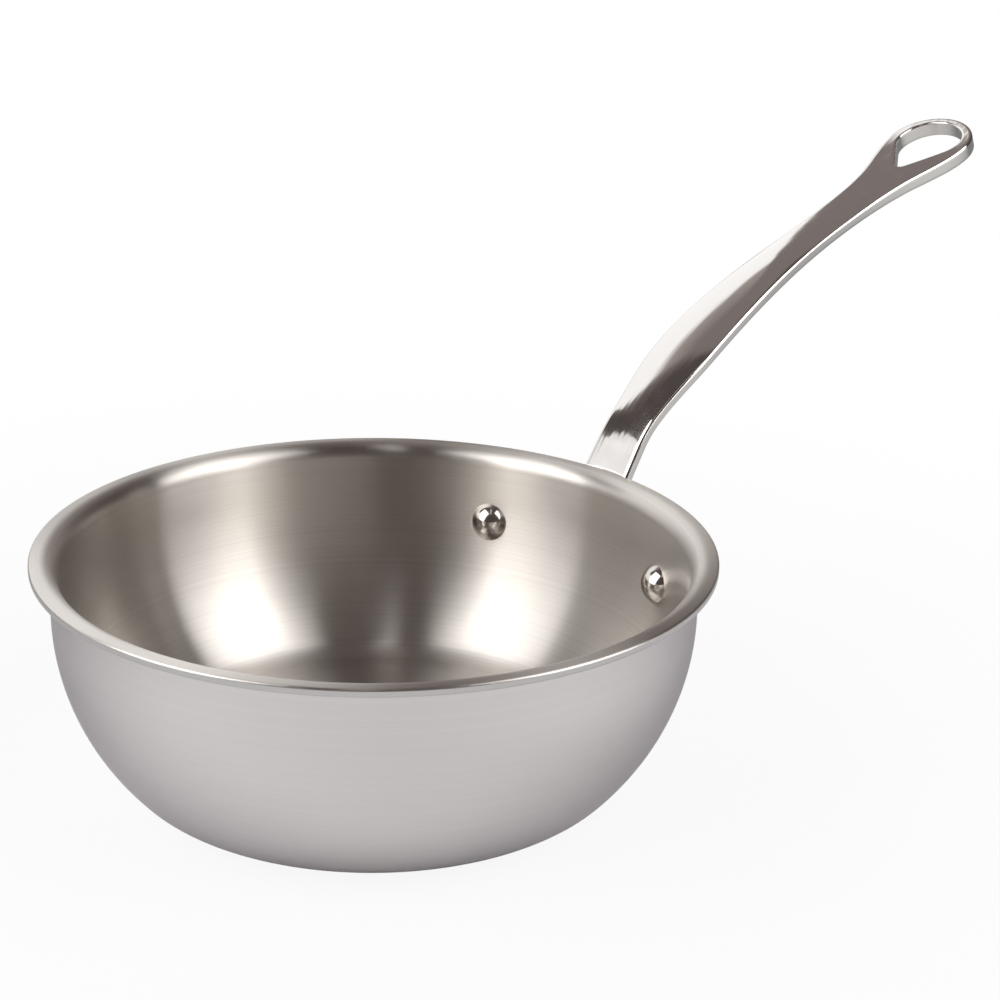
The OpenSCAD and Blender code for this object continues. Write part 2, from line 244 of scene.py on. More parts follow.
class Studio(bpy.types.PropertyGroup):
    """Camera and lamps"""
    azimuth: angle("Azimuth", "Direction of the camera from the bowl", -42.1)
    elevation: angle("Elevation", "Height angle of the camera above the lip", 21.16)
    distance: length("Distance", "Distance of the camera from the middle of the lip", 648)
    yaw: angle("Yaw", "How far the camera looks to the right of the bowl", 3.66)
    pitch: angle("Pitch", "How far the camera looks down", 19.89)
    roll: angle("Roll", "How far the camera leans", 1.35)
    lens: FloatProperty(
        name="Lens", description="Focal length on a 36 mm sensor, in millimetres", default=73.55)
    left_box: angle("Left softbox", "Direction of the left softbox from the bowl", -111)
    right_box: angle("Right softbox", "Direction of the right softbox from the bowl", 29)
    box_width: length("Softbox width", "Width of each softbox", 1200)
    box_height: length("Softbox height", "Height of each softbox", 1700)
    box_height_angle: angle("Softbox elevation", "Height angle of both softboxes", 36)
    box_power: FloatProperty(
        name="Softboxes", description="Power of each softbox in watts", default=18.0)
    strip: angle("Strip light", "Direction of the narrow light above the camera", -53.1)
    strip_height_angle: angle("Strip elevation", "Height angle of the narrow light", 72)
    strip_power: FloatProperty(
        name="Strip power", description="Power of the narrow light in watts", default=0.35)
    card: angle("Card", "Direction of the small lit card that the handle's neck reflects", 225)
    card_height_angle: angle("Card elevation", "Height angle of the small card", 35)
    card_power: FloatProperty(
        name="Card power", description="Light of the small card in watts", default=0.45)
    backdrop_right: FloatProperty(
        name="Backdrop right", description="Sine of the height angle of the backdrop's top on the right",
        default=0.76)
    backdrop_left: FloatProperty(
        name="Backdrop left", description="Sine of the height angle of the backdrop's top on the left",
        default=0.5)
    sky: FloatProperty(
        name="Room light", description="Strength of the light from the room", default=1.0)


def arc(centre, radius, start, end, steps):
    """Points (r, z) on a circle about centre, from one angle to another in degrees."""
    a = np.radians(np.linspace(start, end, steps))
    return np.column_stack([centre[0] + radius * np.cos(a), centre[1] + radius * np.sin(a)])


def wall_shape(size):
    """Centres and radii of the bowl's outside: two arcs that meet where both point the same way."""
    wall_r = size.wall_diameter / 2
    sweep_x = wall_r - size.sweep_radius
    drop = size.curve_start - size.base_radius
    run = math.sqrt((size.sweep_radius - size.base_radius) ** 2 - drop ** 2)
    return wall_r, sweep_x, sweep_x + run, math.degrees(math.atan2(drop, run))


def wall_line(size, depth):
    """Profile (r, z) of one face of the wall, this deep inside the outside face, from the axis to the lip.

    Each arc keeps its centre and its radius shrinks by the depth, or grows by it under the lip,
    so all faces stay parallel."""
    wall_r, sweep_x, flat_r, meet = wall_shape(size)
    lip_x = wall_r + size.lip_radius
    lip_z = size.height - wall_depths(size)[-1] - size.lip_radius
    flat = np.column_stack([np.linspace(0, flat_r, 12)[:-1], np.full(11, depth)])
    return np.vstack([
        flat,
        arc((flat_r, size.base_radius), size.base_radius - depth, -90, -meet, 14),
        arc((sweep_x, size.curve_start), size.sweep_radius - depth, -meet, 0, 40)[1:],
        arc((lip_x, lip_z), size.lip_radius + depth, 180, 90, 14),
    ])


def wall_depths(size):
    """Depths of the faces between the layers, from the outside to the cooking face."""
    return np.cumsum([0, size.outer_steel, size.outer_alloy, size.aluminium,
                      size.inner_alloy, size.inner_steel])


def cut_edge(size, low, high):
    """Profile of the lip's rounded cut edge between two heights.

    The radius falls back by a quarter circle within one edge radius of the lip's top and underside."""
    depth = wall_depths(size)[-1]
    r = size.edge_radius
    z = np.linspace(low, high, 11)
    near = np.maximum(0, np.maximum(r - (z - (size.height - depth)), r - (size.height - z)))
    return np.column_stack([size.rim_diameter / 2 - r + np.sqrt(np.maximum(0, r * r - near ** 2)), z])


def surface(name, points, faces, sharp=30):
    """A smooth mesh object from arrays of points and of faces, sharp where faces meet past an angle."""
    mesh = bpy.data.meshes.new(name)
    mesh.from_pydata(np.asarray(points, float).tolist(), [], [list(map(int, face)) for face in faces])
    mesh.validate()
    mesh.polygons.foreach_set("use_smooth", np.ones(len(mesh.polygons), bool))
    mesh.set_sharp_from_angle(angle=math.radians(sharp))
    mesh.update()
    piece = bpy.data.objects.new(name, mesh)
    bpy.context.scene.collection.objects.link(piece)
    return piece


def turned(name, line, turns, place=None):
    """A closed solid of revolution about Z from a profile that starts and ends on the axis.

    Point (i, j) is (r_i cos a_j, r_i sin a_j, z_i); each end on the axis is one point with a fan."""
    inner = line[1:-1]
    a = np.arange(turns) * 2 * math.pi / turns
    ring = np.stack([np.outer(inner[:, 0], np.cos(a)), np.outer(inner[:, 0], np.sin(a)),
                     np.repeat(inner[:, 1:], turns, 1)], -1).reshape(-1, 3)
    points = np.vstack([ring, [[0, 0, line[0, 1]], [0, 0, line[-1, 1]]]])
    n = len(inner)
    i, j = np.meshgrid(np.arange(n - 1), np.arange(turns), indexing="ij")
    k = (j + 1) % turns
    quads = np.stack([i * turns + j, i * turns + k, (i + 1) * turns + k, (i + 1) * turns + j],
                     -1).reshape(-1, 4)
    j = np.arange(turns)
    k = (j + 1) % turns
    first = np.column_stack([np.full(turns, n * turns), k, j])
    last = np.column_stack([np.full(turns, n * turns + 1), (n - 1) * turns + j, (n - 1) * turns + k])
    if place is not None:
        points = points @ np.array(place.to_3x3()).T + np.array(place.translation)
    return surface(name, points, [*quads, *first, *last])


def ease(start, end, x):
    """Share that grows smoothly from 0 at start to 1 at end: 3t^2 - 2t^3."""
    t = np.clip((x - start) / (end - start), 0, 1)
    return t * t * (3 - 2 * t)


def mix(a, b, t):
    """Value a share t of the way from a to b."""
    return a + (b - a) * t


def keyed(keys, x):
    """Values at x of the smooth cubics through keys, each (place, value, slope)."""
    keys = np.asarray(keys, float)
    i = np.clip(np.searchsorted(keys[:, 0], x, side="right") - 1, 0, len(keys) - 2)
    a, b = keys[i], keys[i + 1]
    run = b[..., 0] - a[..., 0]
    t = np.clip((x - a[..., 0]) / run, 0, 1)
    return ((2 * t ** 3 - 3 * t * t + 1) * a[..., 1] + (t ** 3 - 2 * t * t + t) * run * a[..., 2]
            + (3 * t * t - 2 * t ** 3) * b[..., 1] + (t ** 3 - t * t) * run * b[..., 2])


def even(line, count):
    """The same plane line as count points at even distances along it."""
    along = np.r_[0, np.cumsum(np.linalg.norm(np.diff(line, axis=0), axis=1))]
    at = np.linspace(0, along[-1], count)
    return np.column_stack([np.interp(at, along, line[:, k]) for k in (0, 1)])


def grid(rows, columns, ring=False):
    """Faces of a grid of points, its columns joined into rings if asked."""
    i, j = np.meshgrid(np.arange(rows - 1), np.arange(columns if ring else columns - 1), indexing="ij")
    k = (j + 1) % columns
    return np.stack([i * columns + j, (i + 1) * columns + j, (i + 1) * columns + k, i * columns + k],
                    -1).reshape(-1, 4)


def sew(patches):
    """Joins patches of (points, faces) where their points meet; a corner that is left twice is dropped."""
    tolerance = 1e-7
    starts = np.cumsum([0] + [p.reshape(-1, 3).shape[0] for p, _ in patches])
    points = np.vstack([p.reshape(-1, 3) for p, _ in patches])
    faces = np.vstack([f + start for (_, f), start in zip(patches, starts)])
    _, first, same = np.unique(np.round(points / tolerance).astype(np.int64), axis=0,
                               return_index=True, return_inverse=True)
    kept = [np.array(list(dict.fromkeys(face))) for face in same.reshape(-1)[faces].tolist()]
    return points[first], [face for face in kept if len(face) > 2]


class HandleForm:
    """Surfaces of the cast handle, from its own sizes and from the wall that it is riveted to.

    The top's middle line runs in the upright plane y = 0. A section stands square on it, with out
    across the handle along y and up away from the belly."""
    top, edge, upright, under = 16, 8, 5, 16

    def __init__(self, pan, rivet, grip):
        self.pan, self.rivet, self.grip = pan, rivet, grip
        rim = pan.rim_diameter / 2
        wall = pan.wall_diameter / 2
        self.rim = rim
        self.corner = np.array([rim + grip.bend_reach, pan.height + grip.bend_rise])
        self.centre = rim + grip.loop_reach
        self.far = np.array([self.centre + grip.loop_run, pan.height + grip.loop_rise])
        self.waist = rim + grip.waist_reach
        self.loop_from = self.centre - grip.shoulder_run
        self.keys = [
            (wall, grip.root_width / 2, 0), (self.corner[0], grip.neck_width / 2, 0),
            (rim + grip.grip_reach, grip.grip_width / 2, 0), (self.waist, grip.waist_width / 2, 0),
            (self.loop_from, grip.shoulder_width / 2, 0.19), (self.centre, grip.loop_radius, 0)]
        self.middle_line()

    def middle_line(self):
        """Neck, bend and grip as (reach, height, slope).

        The neck leaves the wall on a quadratic curve and runs straight up to the bend, another
        quadratic curve; the grip is a cubic curve whose two ends hold their slopes for a pull."""
        grip = self.grip
        neck_way, grip_way, loop_way = (np.array([math.cos(a), math.sin(a)]) for a in (
            grip.neck_slope, grip.grip_slope, grip.loop_slope))
        a, d = self.corner, self.far
        b, c = a + grip.grip_pull * grip_way, d - grip.loop_pull * loop_way
        t = np.linspace(0, 1, 1201)[:, None]
        spot = (1 - t) ** 3 * a + 3 * t * (1 - t) ** 2 * b + 3 * t * t * (1 - t) * c + t ** 3 * d
        way = (1 - t) ** 2 * (b - a) + 2 * t * (1 - t) * (c - b) + t * t * (d - c)
        self.line = spot[:, 0], spot[:, 1], np.arctan2(way[:, 1], way[:, 0])
        bend = grip.bend_length
        start = np.array([np.interp(bend / (3 * grip.grip_pull), t[:, 0], spot[:, k]) for k in (0, 1)])
        sunk = 0.4 * MM
        root = np.array([self.pan.wall_diameter / 2 + sunk, self.rivet.height])
        turn = np.array([root[0], a[1] - (a[0] - root[0]) * math.tan(grip.neck_slope)])
        low, high = a - grip.neck_length * neck_way, a - bend * neck_way

        def curve(p, q, r, count):
            t = np.linspace(0, 1, count, endpoint=False)[:, None]
            spot = (1 - t) ** 2 * p + 2 * t * (1 - t) * q + t * t * r
            way = (1 - t) * (q - p) + t * (r - q)
            return np.column_stack([spot, np.arctan2(way[:, 1], way[:, 0])])

        share = np.linspace(0, 1, 30, endpoint=False)[:, None]
        straight = np.column_stack([mix(low, high, share), np.full(30, grip.neck_slope)])
        reach = np.linspace(start[0], self.loop_from, 120)
        self.path = np.vstack([curve(root, turn, low, 44), straight, curve(high, a, start, 20),
                               np.column_stack([reach, *self.on_line(reach)])])

    def on_line(self, reach):
        """Height and slope of the middle line, straight on past the grip's end."""
        past = np.maximum(0, reach - self.far[0])
        return (np.interp(reach, self.line[0], self.line[1]) + past * math.tan(self.grip.loop_slope),
                np.interp(reach, self.line[0], self.line[2]))

    def half_width(self, reach):
        """Half of the handle's width at a reach."""
        return keyed(self.keys, reach)

    def side(self, reach):
        """Height of the upright sides."""
        return mix(self.grip.side, self.grip.loop_side, ease(self.waist, self.centre, reach))

    def belly(self, reach):
        """Depth of the rounded underside below the sides."""
        return mix(self.grip.belly, self.grip.loop_belly, ease(self.waist, self.centre, reach))

    def crown(self, reach):
        """Height of the domed top, which starts a little before the bend's corner."""
        grip, lead = self.grip, 8 * MM
        return (grip.crown * ease(self.corner[0] - lead, self.corner[0] + grip.crown_run, reach)
                * (1 - ease(self.rim + grip.crown_fade, self.centre - grip.crown_end, reach)))

    def half_sections(self, reach, growth):
        """Points (out, up) of each half section, from the top's middle to the belly's middle.

        The crown is a parabola. It runs at its own lean into the quarter circle of the edge; below
        the upright side the belly is a quarter ellipse."""
        width = self.half_width(reach)[:, None]
        crown, growth = self.crown(reach)[:, None], growth[:, None]
        side, belly = self.side(reach)[:, None] * growth, self.belly(reach)[:, None] * growth
        r = np.minimum(self.grip.edge * growth, width / 4)
        lean = np.arctan(2 * crown / (width - r))
        reach_out = width - r + r * np.sin(lean)
        k = np.linspace(0, 1, self.top)[None]
        turn = lean + (math.pi / 2 - lean) * np.linspace(0, 1, self.edge)[None, 1:]
        low = -r * np.cos(lean)
        down = np.linspace(0, 1, self.upright)[None, 1:]
        under = np.linspace(0, math.pi / 2, self.under)[None, 1:]
        out = np.hstack([
            k * reach_out, width - r + r * np.sin(turn), width + 0 * down, width * np.cos(under)])
        up = np.hstack([crown * (1 - k * k), low + r * np.cos(turn), mix(low, -side, down),
                        -side - belly * np.sin(under)])
        return np.stack([out, up], -1)

    def place(self, plan, up):
        """Points in space for plan points (along, out), along measured from the loop's round centre."""
        reach = self.centre + plan[..., 0] * math.cos(self.grip.loop_slope)
        height, slope = self.on_line(reach)
        return np.stack([reach - up * np.sin(slope), plan[..., 1] + 0 * reach,
                         height + up * np.cos(slope)], -1)

    def body(self):
        """Neck and grip: full sections along the middle line, clear of the lip, and an end in the flange."""
        reach, height, slope = self.path.T
        grip, pan = self.grip, self.pan
        cover = 0.8 * MM
        thin = (grip.flange - cover) / (grip.side + grip.belly)
        growth = mix(thin, 1, ease(self.rivet.height, pan.height, height))
        half = self.half_sections(reach, growth)
        full = np.concatenate([half, half[:, -2:0:-1] * [-1, 1]], 1)
        out, up = full[..., 0], full[..., 1]
        points = np.stack([reach[:, None] - up * np.sin(slope)[:, None], out,
                           height[:, None] + up * np.cos(slope)[:, None]], -1)
        keep = self.rim + grip.lip_gap
        low, high = pan.height - wall_depths(pan)[-1] - grip.lip_gap, pan.height + grip.lip_gap
        blend = 2.5 * MM
        away = np.maximum(low - points[..., 2], points[..., 2] - high)
        clear = keep - blend * np.clip(away / blend, 0, 1) ** 2
        near = np.sqrt(np.maximum(0, clear ** 2 - points[..., 1] ** 2))
        points[..., 0] = np.where(away < blend, np.maximum(points[..., 0], near), points[..., 0])
        rows, columns = out.shape
        around = np.arange(columns)
        fan = np.column_stack([around, (around + 1) % columns, np.full((columns, 2), columns)])
        end = np.vstack([points[0], points[0].mean(0)[None]])
        self.last_half = half[-1]
        return [(points, grid(rows, columns, True)), (end, fan)]

    def loop_outline(self, count):
        """Half outline of the loop in plan, from the shoulder to the far end, and its outward directions.

        The far end is a hair short, so that it stays inside the solid's box. The first directions turn
        smoothly out of straight across."""
        c = math.cos(self.grip.loop_slope)
        short, settled = 0.99, 6
        reach = np.linspace(self.loop_from, self.centre, 200)
        turn = np.linspace(0, math.pi / 2, 200)[1:]
        r = self.grip.loop_radius
        line = even(np.vstack([
            np.column_stack([(reach - self.centre) / c, self.half_width(reach)]),
            np.column_stack([short * r * np.sin(turn), r * np.cos(turn)])]), count)
        way = np.gradient(line, axis=0)
        out = np.column_stack([-way[:, 1], way[:, 0]])
        out[0], out[-1] = (0, 1), (1, 0)
        settle = ease(0, settled, np.arange(count))[:, None]
        out = settle * out / np.linalg.norm(out, axis=1)[:, None] + (1 - settle) * np.array([0, 1])
        return line, out / np.linalg.norm(out, axis=1)[:, None]

    def hole_outline(self, grow, tip_count, count):
        """Half outline of the drop-shaped hole in plan, from its tip's back to the far end.

        Two circles, each grown by grow, and the straight lines that touch both."""
        grip = self.grip
        big, small = grip.hole_radius + grow, grip.tip_radius + grow
        lean = math.asin((grip.hole_radius - grip.tip_radius) / grip.hole_run)
        back = np.linspace(math.pi, math.pi / 2 + lean, 60)
        front = np.linspace(math.pi / 2 + lean, 0, 200)
        tip = np.column_stack([grip.hole_shift - grip.hole_run + small * np.cos(back), small * np.sin(back)])
        end = np.column_stack([grip.hole_shift + big * np.cos(front), big * np.sin(front)])
        return np.vstack([even(tip, tip_count)[:-1], even(np.vstack([tip[-1:], end]), count)])

    def loop(self):
        """The loop round the hanging hole, in ruled grids between its outline and the hole's."""
        grip, count = self.grip, 97
        line, out = self.loop_outline(count)
        r = min(grip.edge, self.half_width(self.loop_from) / 4)
        side = self.side(self.centre + line[:, 0] * math.cos(grip.loop_slope))
        turn = np.linspace(0, math.pi / 2, self.edge)
        edge_rows = [(r * (1 - math.sin(a)), np.full(count, -r + r * math.cos(a))) for a in turn]
        side_rows = [(0, mix(-r, -side, k)) for k in np.linspace(0, 1, self.upright)[1:]]
        rim = np.stack([self.place(line - out * inset, up) for inset, up in edge_rows + side_rows])

        bevel = grip.hole_edge
        shoulder = np.full(self.top - 1, line[0, 0])
        hole = self.hole_outline(bevel, self.top, count)
        start = np.vstack([np.column_stack([shoulder, self.last_half[:self.top - 1, 0]]), line - out * r])
        top = self.place(mix(start, hole, np.linspace(0, 1, 9)[:, None, None]), 0)

        across = self.last_half[::-1][:self.under - 1, 0]
        start = np.vstack([np.column_stack([np.full(len(across), line[0, 0]), across]), line])
        hole = self.hole_outline(bevel, self.under, count)
        inward = 1 - np.cos(np.linspace(0, math.pi / 2, 11))
        plan = mix(start, hole, inward[:, None, None])
        reach = self.centre + plan[..., 0] * math.cos(grip.loop_slope)
        inside = np.linalg.norm(plan[:, :, None] - line[None, None], axis=-1).min(-1)
        from_rim = 1 - np.clip(inside / line[0, 1], 0, 1)
        from_side = np.abs(plan[..., 1]) / self.half_width(np.minimum(reach, self.centre))
        change = 8 * MM
        later = ease(self.loop_from, self.loop_from + change, reach)
        share = mix(np.minimum(from_side, 1), from_rim, later)
        share[0, len(across):] = 1
        depth = -self.side(reach) - self.belly(reach) * np.sqrt(np.clip(1 - share ** 2, 0, 1))
        bottom = self.place(plan, depth)

        low = depth[-1]
        quarter = np.linspace(0, math.pi / 2, 7)
        down = [(bevel * (1 - math.sin(a)), -bevel * (1 - math.cos(a)) + 0 * low) for a in quarter]
        wall = [(0, mix(-bevel, low + bevel, k)) for k in np.linspace(0, 1, 6)[1:-1]]
        lower = [(bevel * (1 - math.sin(a)), low + bevel * (1 - math.cos(a))) for a in quarter[::-1]]
        hole = np.stack([self.place(self.hole_outline(grow, self.under, count), up)
                         for grow, up in down + wall + lower])
        patches = []
        for points, turned in ((rim, False), (top, True), (bottom, False), (hole, True)):
            faces = grid(*points.shape[:2])
            for side, flip in ((1, not turned), (-1, turned)):
                patches.append((points * [1, side, 1], faces[:, ::-1] if flip else faces))
        return patches

    def wall_radius(self, height, proud):
        """Radius of the pan's outside at a height, grown by proud: a circle below the upright wall."""
        pan = self.pan
        below = np.maximum(0, pan.curve_start - height)
        return (pan.wall_diameter / 2 - pan.sweep_radius
                + np.sqrt((pan.sweep_radius + proud) ** 2 - below ** 2))

    def flange(self):
        """Flange of even thickness on the wall, seen along the handle as two ears and a raised middle.

        Its outline is followed from a spine between the rivets; the edge is a quarter circle."""
        grip, rivet, pan = self.grip, self.rivet, self.pan
        tilt = math.asin((pan.curve_start - rivet.height) / pan.sweep_radius)
        half_flange = (pan.sweep_radius + grip.flange / 2) * math.cos(tilt)
        ear = (pan.wall_diameter / 2 - pan.sweep_radius + half_flange) * math.sin(rivet.angle)
        high = pan.height - wall_depths(pan)[-1] - grip.flange_gap
        fillet = high - rivet.height - grip.ear_radius
        root = grip.root_width / 2
        round_ear = np.linspace(math.pi / 2, -math.pi / 2, 49)
        sweep = np.linspace(0, math.pi / 2, 25)[1:]
        corner = np.linspace(0, math.pi / 2, 9)
        r = 1.5 * MM  # corner between the raised middle's top and its sides
        upper = np.vstack([
            np.column_stack([np.linspace(0, root - r, 9)[:-1], np.full(8, high)]),
            np.column_stack([root - r + r * np.sin(corner), high - r + r * np.cos(corner)])[:-1],
            np.column_stack([root + fillet - fillet * np.cos(sweep[2:]), high - fillet * np.sin(sweep[2:])]),
            np.column_stack([np.linspace(root + fillet, ear, 20)[1:-1], np.full(18, high - fillet)])])
        half = np.vstack([
            upper,
            np.column_stack([ear + grip.ear_radius * np.cos(round_ear),
                             rivet.height + grip.ear_radius * np.sin(round_ear)]),
            np.column_stack([upper[::-1, 0], np.full(len(upper), rivet.height - grip.ear_radius)])])
        way = np.gradient(half, axis=0)
        out = np.column_stack([-way[:, 1], way[:, 0]])
        out[0], out[-1] = (0, 1), (0, -1)
        out /= np.linalg.norm(out, axis=1)[:, None]
        spine = np.column_stack([np.clip(half[:, 0], 0, ear), np.full(len(half), rivet.height)])
        r = grip.edge
        turn = np.linspace(0, math.pi / 2, 7)
        rows = [(mix(spine, half, k), 0) for k in np.linspace(0, 1, 9)]
        rows += [(half, proud) for proud in np.linspace(0, grip.flange - r, 4)[1:]]
        rows += [(half - out * r * (1 - math.cos(a)), grip.flange - r + r * math.sin(a)) for a in turn[1:]]
        rows += [(mix(half - out * r, spine, k), grip.flange) for k in np.linspace(0, 1, 9)[1:]]
        points = np.stack([np.column_stack([
            np.sqrt(self.wall_radius(plan[:, 1], proud) ** 2 - plan[:, 0] ** 2), plan])
            for plan, proud in rows])
        faces = grid(*points.shape[:2])
        return [(points * [1, side, 1], faces[:, ::side]) for side in (1, -1)]


def brushed_steel(name, colour, grazing, roughness, anisotropy, shade):
    """Satin stainless steel, brushed round the pan on a lathe.

    Fine rings lie round the axis, so the shine is drawn out across them, up and down the wall.
    They are one noise over radius and height, 0.8 mm wide, coarser than the real grit so that they
    show, and shade is how dark the darkest ring is. Slow clouds vary how rough the metal is.
    grazing tints what is seen at a flat angle."""
    ring_width, cloud_size, spread = 0.8 * MM, 45.45 * MM, 0.03
    material, tree = new_material(name)
    where = add_node(tree, "ShaderNodeTexCoord").outputs["Object"]
    parts = add_node(tree, "ShaderNodeSeparateXYZ", {0: where}).outputs
    flat = add_node(tree, "ShaderNodeCombineXYZ", {"X": parts["X"], "Y": parts["Y"]})
    radius = add_node(tree, "ShaderNodeVectorMath", {0: flat.outputs[0]}, operation="LENGTH").outputs["Value"]
    spot = add_node(tree, "ShaderNodeCombineXYZ", {"X": radius, "Y": parts["Z"]}).outputs[0]
    rings = noise(tree, spot, ring_width, 0, noise_dimensions="2D")
    cloud = noise(tree, where, cloud_size, 3)
    rough = ramp(tree, cloud, 0.3, 0.7, roughness - spread, roughness + spread)
    tint = blend(tree, rings, [shade * c for c in colour], colour)
    along = add_node(tree, "ShaderNodeTangent", direction_type="RADIAL", axis="Z").outputs[0]
    finish_metal(tree, {
        "Base Color": tint, "Roughness": rough, "Specular Tint": (*grazing, 1),
        "Anisotropic": anisotropy, "Anisotropic Rotation": 0.25, "Tangent": along})
    return material


def bare_aluminium(name, colour):
    """Rolled aluminium as cut and lightly polished: brighter and softer than steel, with faint streaks."""
    material, tree = new_material(name)
    where = add_node(tree, "ShaderNodeTexCoord").outputs["Object"]
    streaks = noise(tree, where, 1.1 * MM, 2)
    finish_metal(tree, {"Base Color": (*colour, 1), "Roughness": ramp(tree, streaks, 0, 1, 0.26, 0.4)})
    return material


def polished_steel(name, colour, roughness, slope, waves, depth):
    """Cast or forged 18/10 steel, buffed to a mirror.

    The wheel runs along a direction that rises from X by slope. It leaves slow waves, drawn out
    along it, and a faint haze, so reflections bend and soften a little. waves is their size along
    the wheel's way, across it and upwards, and depth their share of a tenth of a millimetre."""
    material, tree = new_material(name)
    where = add_node(tree, "ShaderNodeTexCoord").outputs["Object"]
    level = add_node(tree, "ShaderNodeMapping", {"Vector": where, "Rotation": (0, slope, 0)}).outputs[0]
    drawn = add_node(tree, "ShaderNodeMapping", {
        "Vector": level, "Scale": [1 / (wave * MM) for wave in waves]}).outputs[0]
    bump = add_node(tree, "ShaderNodeBump", {
        "Strength": depth, "Distance": 0.1 * MM, "Height": noise(tree, drawn, 1, 1)}).outputs[0]
    haze = noise(tree, where, 6.25 * MM, 4)
    rough = ramp(tree, haze, 0.3, 0.7, roughness - 0.02, roughness + 0.03)
    finish_metal(tree, {"Base Color": (*colour, 1), "Roughness": rough, "Normal": bump})
    return material


def dress(piece, material, slot, *nodes):
    """Gives a new piece its material, hangs it on the root and hides the nodes that it stands for. slot is not
    used.
    """
    piece.data.materials.clear()
    piece.data.materials.append(material)
    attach(piece, "root")
    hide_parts(*nodes)


class PAN_OT_clad_wall(bpy.types.Operator):
    """Turns the five layers of the clad wall"""
    bl_idname = "pan.clad_wall"
    bl_label = "Clad Wall"

    def execute(self, context):
        size, finish = context.scene.pan_sizes, context.scene.pan_finish
        depths = wall_depths(size)
        lip_low = size.height - depths[-1]
        inside = brushed_steel(
            "satin_18_10_steel_inside", finish.cooking_steel, (1, 1, 1), 0.31, 1.0, 0.9)
        outside = brushed_steel(
            "satin_magnetic_steel_outside", finish.outer_steel, linear("#CACACF"), 0.34, 0.4, 0.96)
        core = bare_aluminium("rolled_aluminium_cut_edge", finish.aluminium)
        looks = {
            "outer_ply": (outside, "outer_steel"), "inner_ply": (inside, "cooking_steel"),
            "core_middle": (core, "core_aluminium"), "core_outer": (core, "core_alloy"),
            "core_inner": (core, "core_alloy"),
        }
        for node, d0, d1 in zip(PLIES, depths[:-1], depths[1:]):
            line = np.vstack([
                wall_line(size, d0), cut_edge(size, lip_low + d0, lip_low + d1),
                wall_line(size, d1)[::-1]])
            piece = turned(node + "_turned", line, size.turns)
            material, slot = looks[node]
            dress(piece, material, slot, node)
        return {"FINISHED"}


def rivet_line(head_d, head_h, tail_d, tail_h, shank_r, length):
    """Profile (r, z) of a driven rivet: a spherical cap at each end of a plain shank.

    A cap of diameter d and height h is part of a ball of radius (d*d/4 + h*h) / 2h."""
    def cap(d, h, steps=22):
        ball = (d * d / 4 + h * h) / (2 * h)
        reach = math.degrees(math.asin(min(1, d / 2 / ball)))
        return arc((0, h - ball), ball, 90, 90 - reach, steps)
    tail = cap(tail_d, tail_h) + [0, length]
    head = cap(head_d, head_h) * [1, -1]
    sunk = 0.3 * MM
    return np.vstack([
        head, [[head_d / 2, sunk], [shank_r, sunk]],
        [[shank_r, length - sunk], [tail_d / 2, length - sunk]], tail[::-1]])


class PAN_OT_rivets(bpy.types.Operator):
    """Makes the two driven rivets, square on the curved wall"""
    bl_idname = "pan.rivets"
    bl_label = "Rivets"

    def execute(self, context):
        size, rivet = context.scene.pan_sizes, context.scene.pan_rivets
        finish, handle = context.scene.pan_finish, context.scene.pan_handle
        wall_t = wall_depths(size)[-1]
        _, sweep_x, _, _ = wall_shape(size)
        tilt = math.asin((size.curve_start - rivet.height) / size.sweep_radius)
        line = rivet_line(rivet.head_diameter, rivet.head_height, rivet.tail_diameter,
                          rivet.tail_height, rivet.shank_diameter / 2, wall_t + handle.flange)
        material = polished_steel("polished_rivet_steel", finish.rivets, 0.13, 0, (6, 6, 6), 0.1)
        for side, node in ((1, "rivet_left"), (-1, "rivet_right")):
            place = (Matrix.Rotation(side * rivet.angle, 4, "Z")
                     @ Matrix.Translation((sweep_x, 0, size.curve_start))
                     @ Matrix.Rotation(math.radians(90) + tilt, 4, "Y")
                     @ Matrix.Translation((0, 0, size.sweep_radius - wall_t)))
            piece = turned(node + "_driven", line, 96, place)
            dress(piece, material, "polished_rivet", node)
        return {"FINISHED"}


class PAN_OT_handle(bpy.types.Operator):
    """Makes the cast handle: neck, grip, loop and the flange on the wall"""
    bl_idname = "pan.handle"
    bl_label = "Handle"

    def execute(self, context):
        scene = context.scene
        form = HandleForm(scene.pan_sizes, scene.pan_rivets, scene.pan_handle)
        points, faces = sew(form.body() + form.loop())
        flange_points, flange_faces = sew(form.flange())
        moved = [face + len(points) for face in flange_faces]
        piece = surface("handle_cast", np.vstack([points, flange_points]), faces + moved, sharp=50)
        material = polished_steel(
            "polished_cast_18_10_steel", scene.pan_finish.casting, 0.08, math.radians(36), (60, 3, 8), 0.6)
        dress(piece, material, "polished_casting", "handle")
        return {"FINISHED"}


